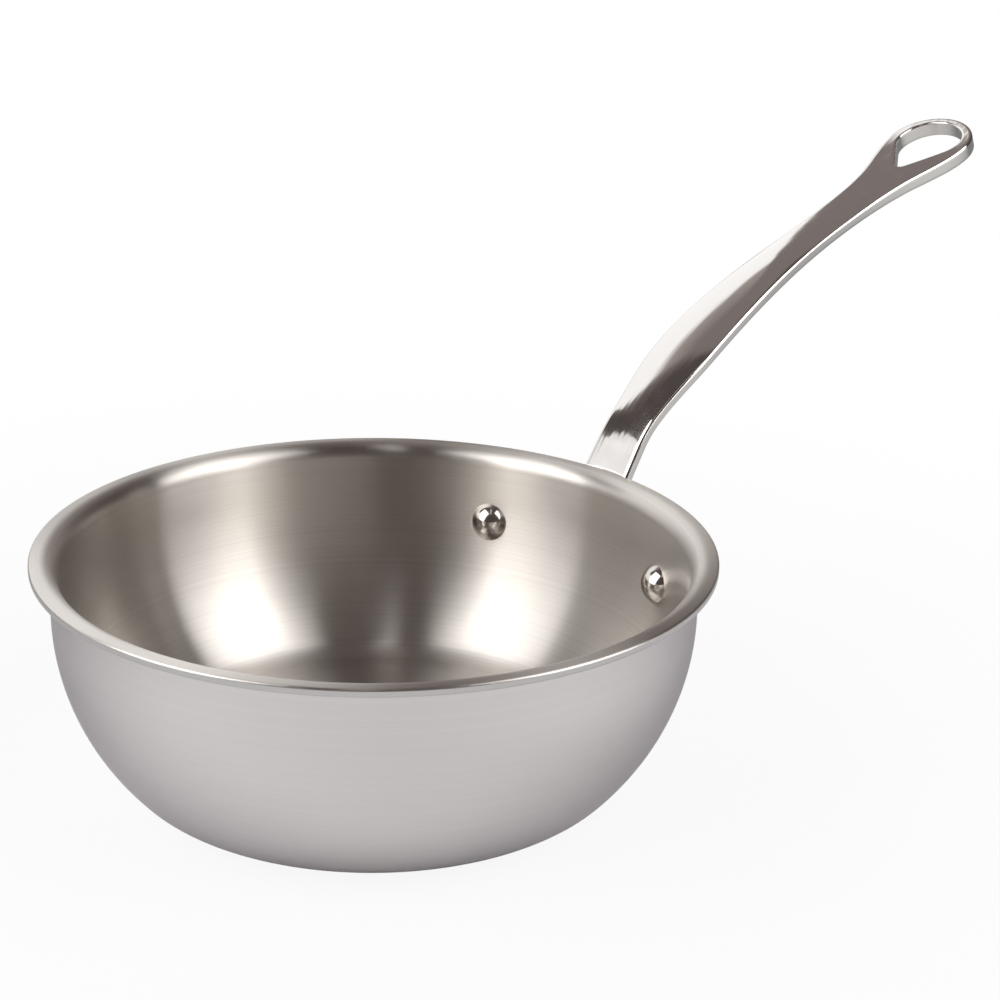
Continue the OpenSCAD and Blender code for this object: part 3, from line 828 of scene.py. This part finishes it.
def studio_world(finish, studio):
    """White backdrop behind the pan and to its left, and a dim warm room above it and all round.

    The backdrop takes the directions within about 45 degrees of its middle, up to a height that drops
    to the left, and its foot lies in shade. Above it the room is lighter than behind the camera,
    most of all just over the backdrop. Seen directly, it is all white."""
    world = bpy.data.worlds.new("studio")
    bpy.context.scene.world = world
    world.use_nodes = True
    tree = world.node_tree
    tree.nodes.clear()
    way = add_node(tree, "ShaderNodeTexCoord").outputs["Generated"]
    parts = add_node(tree, "ShaderNodeSeparateXYZ", {0: way}).outputs
    level = add_node(tree, "ShaderNodeCombineXYZ", {"X": parts["X"], "Y": parts["Y"]}).outputs[0]
    level = add_node(tree, "ShaderNodeVectorMath", {0: level}, operation="NORMALIZE").outputs[0]
    right = toward(tree, level, BACKDROP_RIGHT)
    drop = ramp(tree, right, 0.62, 0.76, studio.backdrop_left, studio.backdrop_right, smooth=True)
    top = ramp(tree, toward(tree, level, BACKDROP_MIDDLE), 0.66, 0.74, 0.05, drop, smooth=True)
    over = reckon(tree, "SUBTRACT", parts["Z"], top)
    ceiling = blend(tree, ramp(tree, over, 0.02, 0.17), finish.glow, finish.ceiling)
    room = blend(tree, ramp(tree, right, 0.55, 0.8, smooth=True), finish.room, ceiling)
    foot, sheet = (0.3, 0.3, 0.3), (1.2, 1.2, 1.2)
    board = blend(tree, ramp(tree, parts["Z"], 0.06, 0.2, smooth=True), foot, sheet)
    room = blend(tree, ramp(tree, over, -0.045, 0.05, smooth=True), board, room)
    ray = add_node(tree, "ShaderNodeLightPath").outputs
    seen = add_node(tree, "ShaderNodeBackground", {"Color": (1, 1, 1, 1), "Strength": 1.0}).outputs[0]
    lit = add_node(tree, "ShaderNodeBackground", {"Color": room, "Strength": studio.sky}).outputs[0]
    both = add_node(tree, "ShaderNodeMixShader", {0: ray["Is Camera Ray"], 1: lit, 2: seen}).outputs[0]
    add_node(tree, "ShaderNodeOutputWorld", {"Surface": both})


def floor_material(colour):
    """Matt pale board, lifted to plain white where the camera sees it and to a painted glow where the metal
    does.

    The glow carries painted shade: it is lighter in front of the pan than behind it. Close round the pan the
    metal sees the bare board, so that the foot of the bowl shows the shadow that it stands in, and the camera
    sees a tenth of it, as a faint shadow."""
    material, tree = new_material("pale_floor")
    where = add_node(tree, "ShaderNodeTexCoord").outputs["Object"]
    away = add_node(tree, "ShaderNodeVectorMath", {0: where}, operation="LENGTH").outputs["Value"]
    far = ramp(tree, away, 0.06, 0.5, smooth=True)
    # painted shade: the floor glows for the metal, lighter in front of the pan than behind it
    painted_shade_for_metal = ramp(tree, toward(tree, where, BACKDROP_RIGHT), -0.3, 0.4, 0.8, 0.25, smooth=True)
    ray = add_node(tree, "ShaderNodeLightPath").outputs
    metal = reckon(tree, "MAXIMUM", ray["Is Glossy Ray"], ray["Is Transmission Ray"])
    shown = reckon(tree, "MULTIPLY", ray["Is Camera Ray"], ramp(tree, far, 0, 1, 0.9, 1))
    lift = reckon(tree, "ADD", reckon(tree, "MULTIPLY", metal, far), shown)
    glow = reckon(tree, "MAXIMUM", ray["Is Camera Ray"], painted_shade_for_metal)
    matt = add_node(tree, "ShaderNodeBsdfDiffuse", {"Color": (*colour, 1)}).outputs[0]
    white = add_node(tree, "ShaderNodeEmission", {"Color": (1, 1, 1, 1), "Strength": glow}).outputs[0]
    both = add_node(tree, "ShaderNodeMixShader", {0: lift, 1: matt, 2: white}).outputs[0]
    add_node(tree, "ShaderNodeOutputMaterial", {"Surface": both})
    return material


def softbox(name, azimuth, elevation, width, height, watts):
    """A square-cornered area lamp 1.6 m away that faces the middle of the bowl from a direction."""
    distance, aim = 1.6, [0, 0, 0.05]
    way = heading(azimuth) * math.cos(elevation) + [0, 0, math.sin(elevation)]
    right = across(azimuth)
    lamp = bpy.data.lights.new(name, "AREA")
    lamp.shape = "RECTANGLE"
    lamp.size, lamp.size_y, lamp.energy = width, height, watts
    piece = bpy.data.objects.new(name, lamp)
    piece.matrix_world = pose([right, np.cross(way, right), way, way * distance + aim])
    bpy.context.scene.collection.objects.link(piece)


class PAN_OT_studio(bpy.types.Operator):
    """Sets the pale floor, the soft lamps and the camera"""
    bl_idname = "pan.studio"
    bl_label = "Studio"

    def execute(self, context):
        scene, finish, studio = context.scene, context.scene.pan_finish, context.scene.pan_studio
        size = scene.pan_sizes
        corners, radius = 96, 8
        a = np.linspace(0, 2 * math.pi, corners, endpoint=False)
        points = np.column_stack([radius * np.cos(a), radius * np.sin(a), np.zeros(corners)])
        floor = surface("floor", points, [np.arange(corners)])
        floor.data.materials.append(floor_material(finish.floor))
        studio_world(finish, studio)
        box = studio.box_height_angle, studio.box_width, studio.box_height, studio.box_power
        softbox("softbox_left", studio.left_box, *box)
        softbox("softbox_right", studio.right_box, *box)
        softbox("strip_light", studio.strip, studio.strip_height_angle, 0.14, 0.9, studio.strip_power)
        softbox("neck_card", studio.card, studio.card_height_angle, 0.45, 0.35, studio.card_power)

        a, e = studio.azimuth, studio.elevation
        spot = (heading(a) * math.cos(e) + [0, 0, math.sin(e)]) * studio.distance + [0, 0, size.height]
        side, ahead = across(a), -heading(a)
        level = math.sin(studio.yaw) * side + math.cos(studio.yaw) * ahead
        look = math.cos(studio.pitch) * level - math.sin(studio.pitch) * np.array([0, 0, 1])
        right = math.cos(studio.yaw) * side - math.sin(studio.yaw) * ahead
        up = np.cross(right, look)
        c, s = math.cos(studio.roll), math.sin(studio.roll)
        right, up = right * c + up * s, up * c - right * s
        camera = bpy.data.objects.new("camera", bpy.data.cameras.new("camera"))
        camera.data.lens = studio.lens
        camera.data.sensor_width = 36
        camera.data.clip_end = 50
        camera.matrix_world = pose([right, up, -look, spot])
        scene.collection.objects.link(camera)
        scene.camera = camera
        scene.view_settings.view_transform = "Standard"
        return {"FINISHED"}


class PAN_PT_panel(bpy.types.Panel):
    """Lists the steps that make the pan"""
    bl_label = "Saucier Pan"
    bl_space_type = "VIEW_3D"
    bl_region_type = "UI"
    bl_category = "Saucier Pan"

    def draw(self, context):
        for step in STEPS:
            self.layout.operator(step)
        for group in GROUPS:
            box = self.layout.box()
            settings = getattr(context.scene, group)
            for name in settings.bl_rna.properties.keys():
                if name not in ("rna_type", "name"):
                    box.prop(settings, name)


STEPS = ("pan.clad_wall", "pan.rivets", "pan.handle", "pan.studio")
GROUPS = {
    "pan_sizes": PanSizes, "pan_rivets": RivetSizes, "pan_handle": HandleSizes,
    "pan_finish": PanFinish, "pan_studio": Studio,
}
CLASSES = (*GROUPS.values(), PAN_OT_clad_wall, PAN_OT_rivets, PAN_OT_handle, PAN_OT_studio, PAN_PT_panel)


def register():
    for item in CLASSES:
        bpy.utils.register_class(item)
    for name, group in GROUPS.items():
        setattr(bpy.types.Scene, name, PointerProperty(type=group))


def unregister():
    for name in GROUPS:
        delattr(bpy.types.Scene, name)
    for item in reversed(CLASSES):
        bpy.utils.unregister_class(item)


def main():
    register()
    bpy.ops.pan.clad_wall()
    bpy.ops.pan.rivets()
    bpy.ops.pan.handle()
    bpy.ops.pan.studio()


if __name__ == "__main__":
    main()
